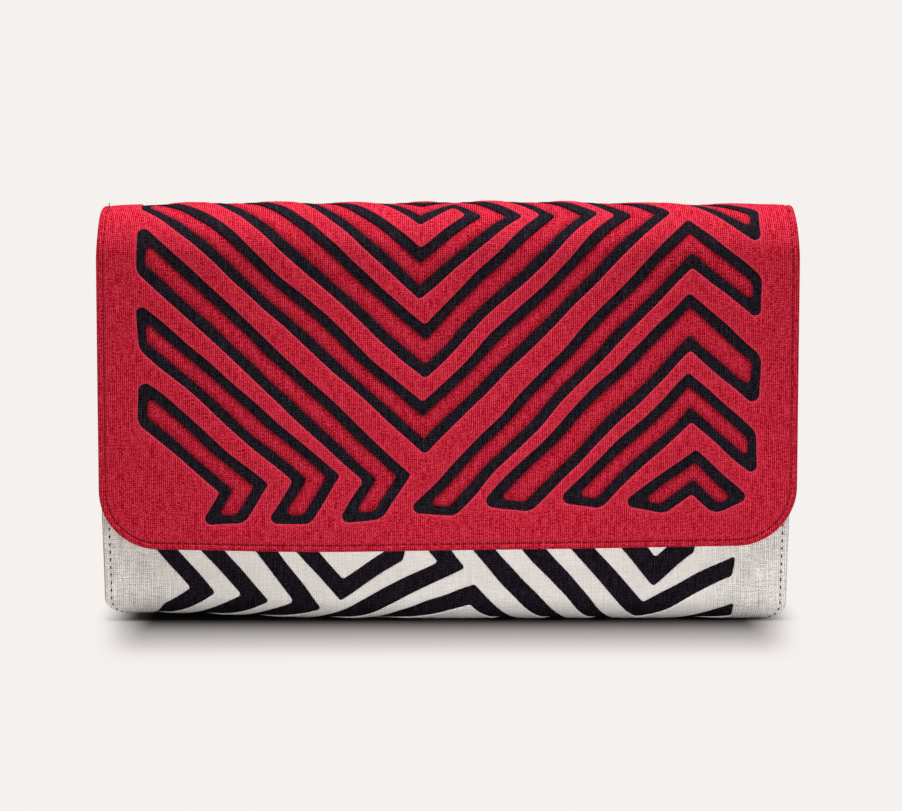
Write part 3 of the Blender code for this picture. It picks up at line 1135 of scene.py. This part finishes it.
def plain_weave(name, weave, tint=None, painted_edge_highlight=0.0, painted_edge_shade=0.0):
    """Plain weave of spun thread. It gives the eye no glossy highlight, but a fine check where the
    threads cross, ribs, and threads that are each a tone of their own and darker in their thin
    places. tint, where given, is a colour that the cloth turns to towards the pattern's middle.
    painted_edge_highlight and painted_edge_shade, where given, mix a painted highlight and a
    painted shade into the colour along the turned edges."""
    pitch, streak = weave.pitch, weave.streak * weave.pitch
    material, tree, shader = new_material(name)
    uv = add(tree, "ShaderNodeUVMap", uv_map="Cloth")
    bend = add(tree, NOISE, {"Vector": uv, "Scale": BEND_SCALE, "Detail": 1.0})
    sway = add(tree, VECTOR_MATH, (bend.outputs["Color"], BEND_REACH), operation="MULTIPLY")
    cloth = add(tree, VECTOR_MATH, (uv, sway), operation="ADD")
    split = add(tree, SPLIT, (cloth,))
    tones, waves = [], []
    scales = ((1 / pitch, 1 / (WARP_SLUB * streak), 1.0), (1 / streak, 1 / pitch, 1.0))
    for along, scale in zip(split.outputs, scales):
        threads = add(tree, "ShaderNodeMapping", {"Vector": cloth, "Scale": scale})
        tones.append(add(tree, NOISE, {"Vector": threads, "Scale": THREAD_NOISE, "Detail": 2.0}))
        turns = add(tree, MATH, (along, math.pi / pitch), operation="MULTIPLY")
        waves.append(add(tree, MATH, (turns,), operation="SINE"))
    crossing = add(tree, MATH, waves, operation="MULTIPLY")
    over = add(
        tree, MATH, (crossing, CROSSING_SHARPNESS, 0.5), operation="MULTIPLY_ADD", use_clamp=True
    )
    under = add(tree, MATH, (1.0, over), operation="SUBTRACT")
    bulge = add(tree, MATH, (crossing,), operation="ABSOLUTE")
    rib = add(tree, MATH, (waves[0],), operation="ABSOLUTE")
    fleck = add(tree, NOISE, {"Vector": uv, "Scale": FLECK_NOISE / pitch, "Detail": 3.0})
    tone = -RIB_MEAN * weave.rib - FLECK_MEAN * weave.fleck
    for part, share in (
        (tones[0], over), (tones[1], under), (bulge, CROSSING_TONE), (rib, weave.rib),
        (fleck, weave.fleck),
    ):
        tone = add(tree, MATH, (part, share, tone), operation="MULTIPLY_ADD")
    colour = add(tree, "ShaderNodeValToRGB", (tone,))
    stops = ((DARK_AT, weave.dark), (MIDDLE_AT, weave.middle), (LIGHT_AT, weave.light))
    set_ramp(colour, stops)
    # Near the turned edges the colour is mixed towards a painted highlight or a painted shade.
    turned = add(tree, "ShaderNodeAttribute", attribute_name="turned_edge").outputs["Fac"]
    for reach, shade in ((painted_edge_highlight, weave.light), (painted_edge_shade, times(weave.dark, EDGE_SHADOW))):
        if reach:
            share = add(tree, MATH, (turned, reach), operation="MULTIPLY", use_clamp=True)
            colour = add(tree, MIX, {0: share, 6: colour, 7: opaque(shade)}, data_type="RGBA")
    if tint:
        across = add(tree, MATH, (add(tree, SPLIT, (uv,)),), operation="ABSOLUTE")
        near = add(
            tree, RANGE, {"Value": across, "From Min": TINT_FROM, "From Max": TINT_FULL},
            interpolation_type="SMOOTHSTEP",
        )
        tinted = add(tree, MIX, {0: TINT_SHARE, 6: colour, 7: opaque(tint)}, data_type="RGBA")
        colour = add(tree, MIX, {0: near, 6: colour, 7: tinted}, data_type="RGBA")
    height = add(tree, MATH, (bulge, BULGE_HEIGHT, tone), operation="MULTIPLY_ADD")
    bump = add(tree, "ShaderNodeBump", {"Height": height, "Distance": weave.relief, "Strength": 0.8})
    wire(
        tree, shader,
        {
            "Base Color": colour,
            "Normal": bump,
            "Roughness": 0.88,
            "IOR": CLOTH_IOR,
            "Specular IOR Level": 0.03,
            "Sheen Weight": weave.sheen,
            "Sheen Roughness": 0.30,
            "Sheen Tint": opaque(weave.light),
        },
    )
    return material


def spun_thread(name, code):
    """Spun cotton sewing thread: matt, and uneven in tone where its plies twist, so that a stitch
    looks soft."""
    colour = srgb(code)
    material, tree, shader = new_material(name)
    place = add(tree, "ShaderNodeTexCoord").outputs["Object"]
    noise = add(tree, NOISE, {"Vector": place, "Scale": THREAD_TWIST, "Detail": 2.0})
    dark = opaque(times(colour, TWIST_DARK))
    light = opaque(min(1.0, TWIST_LIGHT * c + TWIST_LIGHT_LEAST) for c in colour)
    mixed = add(tree, MIX, {0: noise, 6: dark, 7: light}, data_type="RGBA")
    bump = add(tree, "ShaderNodeBump", {"Height": noise, "Distance": TWIST_RELIEF})
    wire(
        tree, shader,
        {"Base Color": mixed, "Normal": bump, "Roughness": 0.8, "Specular IOR Level": 0.1},
    )
    return material


def red_linen(name, painted_edge_highlight=0.0, painted_edge_shade=0.0):
    """Linen, dyed and plain woven: saturated red threads, some much lighter, with short slubs."""
    s = settings()
    weave = Weave(
        tuple(s.red_dark), tuple(s.red), tuple(s.red_light), s.thread_pitch,
        streak=4.0, rib=0.28, fleck=0.45, relief=0.00022, sheen=0.02,
    )
    return plain_weave(name, weave, painted_edge_highlight=painted_edge_highlight, painted_edge_shade=painted_edge_shade)


def grey_linen(name, tint=None):
    """Linen, undyed and plain woven: pale threads with long slubs, smoother than the red."""
    s = settings()
    weave = Weave(
        times(s.grey, 0.60), tuple(s.grey), times(s.grey, 1.28), s.thread_pitch,
        streak=8.0, rib=0.14, fleck=0.30, relief=0.00016, sheen=0.04,
    )
    return plain_weave(name, weave, tint=tint)


def black_cotton(name):
    """Cotton, dyed and plain woven finer than the linen: near black, its nap a little greyer."""
    s = settings()
    weave = Weave(
        times(s.black, 0.4), tuple(s.black), times(s.black, 4.5), 0.8 * s.thread_pitch,
        streak=5.0, rib=0.10, fleck=0.30, relief=0.00014, sheen=0.10,
    )
    return plain_weave(name, weave)


def strips_side_by_side(area, length):
    """The flat size of a layer's strips, laid side by side in rows of this length."""
    return length, area / length


def dressed(obj, material):
    """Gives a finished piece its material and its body."""
    obj.data.materials.clear()
    obj.data.materials.append(material)
    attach(obj, "root")


# What a user would change


def colour_setting(name, code, description):
    """A colour that a user may change."""
    return bpy.props.FloatVectorProperty(
        name=name, description=description, default=srgb(code), subtype="COLOR", min=0, max=1
    )


class MolaBagSettings(bpy.types.PropertyGroup):
    """Sizes and colours of the bag's cloths."""

    # The real threads lie about 0.6 mm apart, which is too fine for the picture, so they are coarser.
    thread_pitch: bpy.props.FloatProperty(
        name="Thread pitch", description="Spacing of the linen's threads",
        default=0.00078, min=0.0003, unit="LENGTH", precision=5,
    )
    stitch_pitch: bpy.props.FloatProperty(
        name="Stitch pitch", description="Spacing of the edge stitches",
        default=STITCH_PITCH, min=0.001, unit="LENGTH", precision=4,
    )
    red_dark: colour_setting("Red, dark threads", "8B0010", "Darkest threads of the red linen")
    red: colour_setting("Red", "B6112A", "Middle tone of the red linen")
    red_light: colour_setting("Red, light threads", "DC4056", "Lightest threads of the red linen")
    black: colour_setting("Black", "151117", "Middle tone of the black cotton")
    grey: colour_setting("Grey", "E1DDD8", "Middle tone of the grey linen")
    cream: colour_setting("Cream", "F7F2ED", "Tone of the grey linen between its black bands")
    floor: colour_setting("Floor", "F5F1EE", "Colour of the floor and the room")


def settings():
    """The sizes and colours that the user has set."""
    return bpy.context.scene.mola_bag


# Pieces, one operator for each


class MOLA_OT_flap_panel(bpy.types.Operator):
    """Makes the red panel's base cloth: flap, top fold and back, with its lip and groove"""

    bl_idname = "mola.flap_panel"
    bl_label = "Flap panel"

    def execute(self, context):
        body, area = panel_body("flap_cloth", on_flap, flap_outline, FLAP_CLOTH, GROOVE)
        dressed(body, red_linen("red linen, woven, base"))
        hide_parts("flap_panel")
        return {"FINISHED"}


class MOLA_OT_flap_mola(bpy.types.Operator):
    """Makes the red mola's cut top cloth, the black cloth in its slots and the red inlays"""

    bl_idname = "mola.flap_mola"
    bl_label = "Flap mola"

    def execute(self, context):
        slots, islands = flap_islands_and_slots()
        cover, area = cover_layer(
            "flap_mola_top", on_flap, flap_outline, FLAP_COVER_START, slots, GROOVE
        )
        # A highlight is painted into the top cloth's colour along its turned edges.
        dressed(cover, red_linen("red linen, woven, cut and turned", painted_edge_highlight=0.75))
        holes = [[island] for island in islands]
        black, area = strip_layer("flap_mola_black", on_flap, slots, holes, BLACK_STRIPS, black_face)
        dressed(black, black_cotton("black cotton, woven, slots"))
        uncut = [[] for _ in islands]
        inlays, area = strip_layer(
            "flap_mola_inlays", on_flap, islands, uncut, INLAY_STRIPS, inlay_face
        )
        # A shade is painted into the inlays' colour along their edges, where they lie under the black
        # cloth.
        dressed(inlays, red_linen("red linen, woven, inlays", painted_edge_shade=1.0))
        strips_side_by_side(area, FLAP_WIDTH)
        return {"FINISHED"}


class MOLA_OT_front_panel(bpy.types.Operator):
    """Makes the grey panel's base cloth: the pouch's front, its bottom and the lap behind"""

    bl_idname = "mola.front_panel"
    bl_label = "Front panel"

    def execute(self, context):
        body, area = panel_body("front_cloth", on_front, front_outline, FRONT_CLOTH, FRONT_GROOVE)
        dressed(body, grey_linen("grey linen, woven, base"))
        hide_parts("front_panel")
        return {"FINISHED"}


class MOLA_OT_front_mola(bpy.types.Operator):
    """Makes the grey mola's cut top cloth and the black cloth that shows in its bands"""

    bl_idname = "mola.front_mola"
    bl_label = "Front mola"

    def execute(self, context):
        bands = front_band_outlines()
        cover, area = cover_layer(
            "front_mola_top", on_front, front_outline, FRONT_COVER_START, bands, FRONT_GROOVE
        )
        dressed(
            cover, grey_linen("grey linen, woven, cut and turned", tuple(settings().cream)),
        )
        uncut = [[] for _ in bands]
        black, area = strip_layer("front_mola_black", on_front, bands, uncut, BLACK_STRIPS, black_face)
        dressed(black, black_cotton("black cotton, woven, bands"))
        strips_side_by_side(area, POUCH_WIDTH)
        return {"FINISHED"}


class MOLA_OT_gussets(bpy.types.Operator):
    """Makes the two side gussets with their turned-out lips"""

    bl_idname = "mola.gussets"
    bl_label = "Gussets"

    def execute(self, context):
        for name, node, side in (
            ("gusset_cloth_left", "gusset_left", -1),
            ("gusset_cloth_right", "gusset_right", 1),
        ):
            outline = anticlockwise(resampled(gusset_outline(0.0), GUSSET_STEP))

            def top(flat, edge, hole):
                return quarter_round(edge, GUSSET_CLOTH / 2, GUSSET_CLOTH / 2)

            def bottom(flat, edge, hole):
                return under_face(edge, GUSSET_CLOTH)

            cloth, area = built_sheet(
                name, gusset_form(side), outline, [], top, bottom, GUSSET_SPACING, GUSSET_SPACING,
                rings=GUSSET_RINGS, under_rings=GUSSET_RINGS,
            )
            dressed(cloth, red_linen(f"red linen, woven, {node}"))
            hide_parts(node)
        return {"FINISHED"}


class MOLA_OT_stitching(bpy.types.Operator):
    """Sews the edges: the flap's groove, the pouch's sides, the slots and the bands"""

    bl_idname = "mola.stitching"
    bl_label = "Stitching"

    def execute(self, context):
        pitch = settings().stitch_pitch
        maroon = spun_thread("spun cotton thread, maroon", "7C0818")
        black = spun_thread("spun cotton thread, black", "1C1418")
        red = spun_thread("spun cotton thread, red", "B01B33")
        grey = spun_thread("spun cotton thread, grey", "B9B8B2")
        ring = resampled(flap_outline(STITCH_INSET), 1.0 * MM)
        ring = np.vstack([ring, ring[:1]])
        row = threads_along("flap_edge_stitches", on_flap, ring, pitch, EDGE_RUNNING)
        dressed(row, maroon)
        end = stitch_row(
            "flap_thread_end", on_flap(*THREAD_END_ROOT), on_flap(*THREAD_END_TIP),
            np.array([[0.0, -1.0, 0.0]]), THREAD_END_RADIUS,
        )
        dressed(end, maroon)
        v = np.linspace(SEAM_ENDS[0], FRONT_LENGTH - SEAM_ENDS[1], SEAM_POINTS)
        u = pouch_half_width(front_profile(v)[1]) - SEAM_INSET
        for name, side in (("side_seam_stitches_left", -1), ("side_seam_stitches_right", 1)):
            path = np.stack([side * u, v], axis=1)
            seam = threads_along(name, on_front, path, pitch * SEAM_PITCH_SHARE, SEAM_RUNNING)
            dressed(seam, black)
        slots, _ = flap_islands_and_slots()
        tacks = threads_across("flap_tacks", on_flap, slots, pitch, TACK)
        dressed(tacks, red)
        tacks = threads_across("front_tacks", on_front, front_band_outlines(), pitch, TACK)
        dressed(tacks, grey)
        return {"FINISHED"}


def pale_room(name, pale):
    """A world that is the floor's colour near the horizon and dimmer overhead."""
    world = bpy.data.worlds.new(name)
    world.use_nodes = True
    tree = world.node_tree
    way = add(tree, SPLIT, (add(tree, "ShaderNodeTexCoord").outputs["Generated"],))
    strength = add(
        tree, RANGE,
        {
            "Value": way.outputs["Z"],
            "From Min": ROOM_LEVEL_FROM,
            "From Max": ROOM_LEVEL_TO,
            "To Min": 1.0,
            "To Max": ROOM_HIGH,
        },
        interpolation_type="SMOOTHSTEP",
    )
    wire(tree, tree.nodes["Background"], {"Color": opaque(pale), "Strength": strength})
    return world


def painted_shadow_floor(name, pale):
    """Matt floor round the bag with a contact shadow painted into its colour, and an even glow further
    away.
    """
    material, tree, shader = new_material(name)
    place = add(tree, "ShaderNodeTexCoord").outputs["Object"]
    apart = add(tree, VECTOR_MATH, (place,), operation="ABSOLUTE")
    # The painted contact shadow is soft in front and behind, and close at the two ends.
    for operation, amount in (
        ("SUBTRACT", FOOTPRINT), ("MAXIMUM", (0.0, 0.0, 0.0)), ("MULTIPLY", (END_TIGHTNESS, 1.0, 0.0)),
    ):
        apart = add(tree, VECTOR_MATH, (apart, amount), operation=operation)
    far = add(tree, VECTOR_MATH, (apart,), operation="LENGTH").outputs["Value"]
    reach = PAINTED_CONTACT_SHADOW[-1].distance
    painted_shadow = add(tree, "ShaderNodeValToRGB", (add(tree, MATH, (far, reach), operation="DIVIDE"),))
    open_floor = times(pale, FLOOR_ALBEDO)
    set_ramp(painted_shadow, [(row.distance / reach, times(open_floor, row.share)) for row in PAINTED_CONTACT_SHADOW])
    # The painted shadow is made lighter behind the bag.
    behind = add(
        tree, RANGE,
        {
            "Value": add(tree, SPLIT, (place,)).outputs["Y"],
            "From Max": BEHIND_REACH,
            "To Max": PAINTED_SHADOW_LIGHTER_BEHIND,
        },
        interpolation_type="SMOOTHSTEP",
    )
    colour = add(tree, MIX, {0: behind, 6: painted_shadow, 7: opaque(open_floor)}, data_type="RGBA")
    wire(tree, shader, {"Base Color": colour, "Roughness": 1.0, "Specular IOR Level": 0.0})
    share = add(
        tree, RANGE, {"Value": far, "From Min": GLOW_FROM, "From Max": reach},
        interpolation_type="SMOOTHSTEP",
    )
    glow = add(tree, "ShaderNodeEmission", {"Color": opaque(pale), "Strength": 1.0})
    both = add(tree, "ShaderNodeMixShader", (share, shader, glow))
    wire(tree, tree.nodes["Material Output"], {"Surface": both})
    return material


class MOLA_OT_stage(bpy.types.Operator):
    """Sets the pale floor, the soft light and the camera"""

    bl_idname = "mola.stage"
    bl_label = "Stage"

    def execute(self, context):
        scene = context.scene
        scene.view_settings.view_transform = "Standard"
        pale = tuple(settings().floor)
        bpy.ops.mesh.primitive_circle_add(
            vertices=96, radius=FLOOR_RADIUS, fill_type="NGON", location=(0, 0, 0)
        )
        floor = context.object
        floor.name = "floor"
        floor.data.materials.append(painted_shadow_floor("matt pale floor, painted contact shadow", pale))
        scene.world = pale_room("pale room", pale)
        for lamp in LAMPS:
            self.hang(lamp)
        self.camera(scene)
        return {"FINISHED"}

    def hang(self, lamp):
        """Puts up one lamp, which the camera doesn't see."""
        data = bpy.data.lights.new(lamp.name, "AREA")
        data.shape = "RECTANGLE"
        data.size, data.size_y = lamp.size
        data.energy = lamp.power
        light = bpy.data.objects.new(lamp.name, data)
        light.visible_camera = False
        bpy.context.scene.collection.objects.link(light)
        light.location = lamp.place
        way = Vector(lamp.target) - Vector(lamp.place)
        light.rotation_euler = way.to_track_quat("-Z", "Y").to_euler()

    def camera(self, scene):
        """Sets up the camera as the photograph was taken."""
        azimuth, elevation = math.radians(CAMERA_AZIMUTH), math.radians(CAMERA_ELEVATION)
        level = math.cos(elevation)
        ahead = Vector((math.sin(azimuth) * level, math.cos(azimuth) * level, -math.sin(elevation)))
        data = bpy.data.cameras.new("camera")
        data.lens = CAMERA_LENS
        data.sensor_width = 36.0
        camera = bpy.data.objects.new("camera", data)
        scene.collection.objects.link(camera)
        camera.location = Vector(CAMERA_TARGET) - ahead * CAMERA_DISTANCE
        camera.rotation_euler = ahead.to_track_quat("-Z", "Y").to_euler()
        scene.camera = camera


class MOLA_PT_panel(bpy.types.Panel):
    """Lists the bag's sizes, colours and pieces"""

    bl_label = "Mola Bag"
    bl_idname = "MOLA_PT_panel"
    bl_space_type = "VIEW_3D"
    bl_region_type = "UI"
    bl_category = "Mola Bag"

    def draw(self, context):
        for name in MolaBagSettings.__annotations__:
            self.layout.prop(context.scene.mola_bag, name)
        for operator in OPERATORS:
            self.layout.operator(operator.bl_idname)


OPERATORS = (
    MOLA_OT_flap_panel,
    MOLA_OT_flap_mola,
    MOLA_OT_front_panel,
    MOLA_OT_front_mola,
    MOLA_OT_gussets,
    MOLA_OT_stitching,
    MOLA_OT_stage,
)
CLASSES = (MolaBagSettings, *OPERATORS, MOLA_PT_panel)


def register():
    for cls in CLASSES:
        bpy.utils.register_class(cls)
    bpy.types.Scene.mola_bag = bpy.props.PointerProperty(type=MolaBagSettings)


def unregister():
    del bpy.types.Scene.mola_bag
    for cls in reversed(CLASSES):
        bpy.utils.unregister_class(cls)


def main():
    register()
    bpy.ops.mola.flap_panel()
    bpy.ops.mola.flap_mola()
    bpy.ops.mola.front_panel()
    bpy.ops.mola.front_mola()
    bpy.ops.mola.gussets()
    bpy.ops.mola.stitching()
    bpy.ops.mola.stage()


if __name__ == "__main__":
    main()
